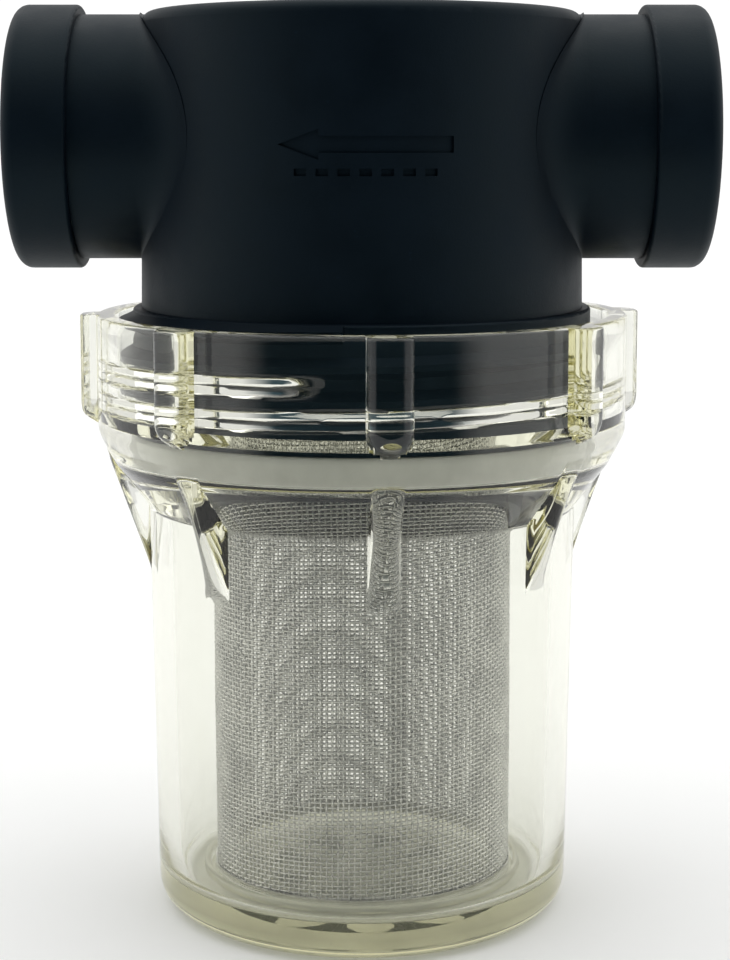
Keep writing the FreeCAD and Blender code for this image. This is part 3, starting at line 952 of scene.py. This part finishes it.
def build_floor(settings):
    """A flat round table top whose near edge is a short way in front of the object."""
    angle = np.arange(FLOOR_CORNERS) / FLOOR_CORNERS * TURN
    back = settings.table_radius - settings.table_edge
    points = np.stack([settings.table_radius * np.cos(angle), back + settings.table_radius * np.sin(angle),
                       np.full_like(angle, -FLOOR_GAP)], axis=-1)
    mesh = bpy.data.meshes.new("floor")
    mesh.from_pydata(points.tolist(), [], [list(range(FLOOR_CORNERS))])
    mesh.materials.append(pale_floor(settings.floor))
    floor = bpy.data.objects.new("floor", mesh)
    bpy.context.scene.collection.objects.link(floor)


def add_softbox(name, place, target, width, height, watts):
    """A rectangular lamp at a place, facing a target."""
    lamp = bpy.data.lights.new(name, "AREA")
    lamp.shape = "RECTANGLE"
    lamp.size = width
    lamp.size_y = height
    lamp.energy = watts
    holder = bpy.data.objects.new(name, lamp)
    aim = Vector(target) - Vector(place)
    holder.matrix_world = Matrix.Translation(place) @ aim.to_track_quat("-Z", "Y").to_matrix().to_4x4()
    bpy.context.scene.collection.objects.link(holder)


def build_world(settings):
    """White surroundings, a little dimmer as light than they look, and open to a dark room in front.

    The light's strength rises from almost nothing straight in front of the object to the ambient
    level at the angle where the dark side ends, as the cosine of the angle falls.
    """
    world = bpy.data.worlds.new("studio")
    world.use_nodes = True
    tree = world.node_tree
    tree.nodes.clear()
    rays = tree.nodes.new("ShaderNodeLightPath")
    seen = tree.nodes.new("ShaderNodeBackground")
    seen.inputs["Color"].default_value = (1.0, 1.0, 1.0, 1.0)
    seen.inputs["Strength"].default_value = 1.05
    light = tree.nodes.new("ShaderNodeBackground")
    way = tree.nodes.new("ShaderNodeTexCoord")
    frontward = tree.nodes.new("ShaderNodeVectorMath")
    frontward.operation = "DOT_PRODUCT"
    frontward.inputs[1].default_value = (0.0, -1.0, 0.0)
    opening = tree.nodes.new("ShaderNodeMapRange")
    opening.inputs["From Min"].default_value = math.cos(settings.dark_front * 0.74)
    opening.inputs["From Max"].default_value = math.cos(settings.dark_front)
    sides = tree.nodes.new("ShaderNodeMix")
    sides.data_type = "RGBA"
    sides.inputs[6].default_value = (0.045, 0.08, 0.10, 1.0)
    sides.inputs[7].default_value = (1.0, 1.0, 1.0, 1.0)
    light.inputs["Strength"].default_value = settings.ambient
    tree.links.new(way.outputs["Generated"], frontward.inputs[0])
    tree.links.new(frontward.outputs["Value"], opening.inputs["Value"])
    tree.links.new(opening.outputs[0], sides.inputs[0])
    tree.links.new(sides.outputs[2], light.inputs["Color"])
    view = tree.nodes.new("ShaderNodeMixShader")
    output = tree.nodes.new("ShaderNodeOutputWorld")
    tree.links.new(rays.outputs["Is Camera Ray"], view.inputs[0])
    tree.links.new(light.outputs[0], view.inputs[1])
    tree.links.new(seen.outputs[0], view.inputs[2])
    tree.links.new(view.outputs[0], output.inputs[0])
    bpy.context.scene.world = world


def build_lights(settings):
    """A wide softbox overhead and a weaker one at each side, towards the back."""
    middle = (0, 0, 0.06)
    add_softbox("top_softbox", (0, 0.25, 1.3), middle, 2.4, 2.0, settings.top_light)
    add_softbox("left_softbox", (-1.1, 0.35, 0.5), middle, 0.6, 0.9, settings.top_light * 0.1)
    add_softbox("right_softbox", (1.1, 0.35, 0.5), middle, 0.6, 0.9, settings.top_light * 0.1)


def build_camera(settings):
    """A long lens level with the ports, tipped down a little."""
    camera = bpy.data.objects.new("camera", bpy.data.cameras.new("camera"))
    camera.data.lens = settings.lens
    camera.data.sensor_width = 36.0
    camera.data.shift_y = -0.12
    camera.data.clip_start = 0.01
    camera.location = (0.42 * MM, -268.45 * MM, port_height + 0.06 * MM)
    camera.rotation_euler = (math.radians(90 - 6.452), 0, 0)
    bpy.context.scene.collection.objects.link(camera)
    bpy.context.scene.camera = camera
    bpy.context.scene.view_settings.view_transform = "Standard"
    let_light_through()


def let_light_through():
    """Enough light bounces for a path that crosses the clear walls many times."""
    light_paths = bpy.context.scene.cycles
    light_paths.max_bounces = 48
    light_paths.transmission_bounces = 48
    light_paths.glossy_bounces = 48
    light_paths.transparent_max_bounces = 48


class STRAINER_PT_panel(Panel):
    """Buttons for each group of pieces and their settings"""

    bl_label = "Strainer"
    bl_space_type = "VIEW_3D"
    bl_region_type = "UI"
    bl_category = "Strainer"

    def draw(self, context):
        scene = context.scene
        parts = (("strainer.head", scene.strainer_head), ("strainer.screen", scene.strainer_screen),
                 ("strainer.bowl", scene.strainer_bowl), ("strainer.stage", scene.strainer_stage))
        for operator, settings in parts:
            box = self.layout.box()
            box.operator(operator)
            for name in settings.__annotations__:
                box.prop(settings, name)


CLASSES = (
    BowlSettings, HeadSettings, ScreenSettings, StageSettings,
    STRAINER_OT_head, STRAINER_OT_screen, STRAINER_OT_bowl, STRAINER_OT_stage,
    STRAINER_PT_panel,
)


def register():
    """Registers the classes and hangs the settings on the scene."""
    for cls in CLASSES:
        bpy.utils.register_class(cls)
    bpy.types.Scene.strainer_bowl = PointerProperty(type=BowlSettings)
    bpy.types.Scene.strainer_head = PointerProperty(type=HeadSettings)
    bpy.types.Scene.strainer_screen = PointerProperty(type=ScreenSettings)
    bpy.types.Scene.strainer_stage = PointerProperty(type=StageSettings)


def unregister():
    """Takes the settings and classes away again."""
    for name in ("strainer_bowl", "strainer_head", "strainer_screen", "strainer_stage"):
        delattr(bpy.types.Scene, name)
    for cls in reversed(CLASSES):
        bpy.utils.unregister_class(cls)


def main():
    register()
    bpy.ops.strainer.head()
    bpy.ops.strainer.screen()
    bpy.ops.strainer.bowl()
    bpy.ops.strainer.stage()


if __name__ == "__main__":
    main()
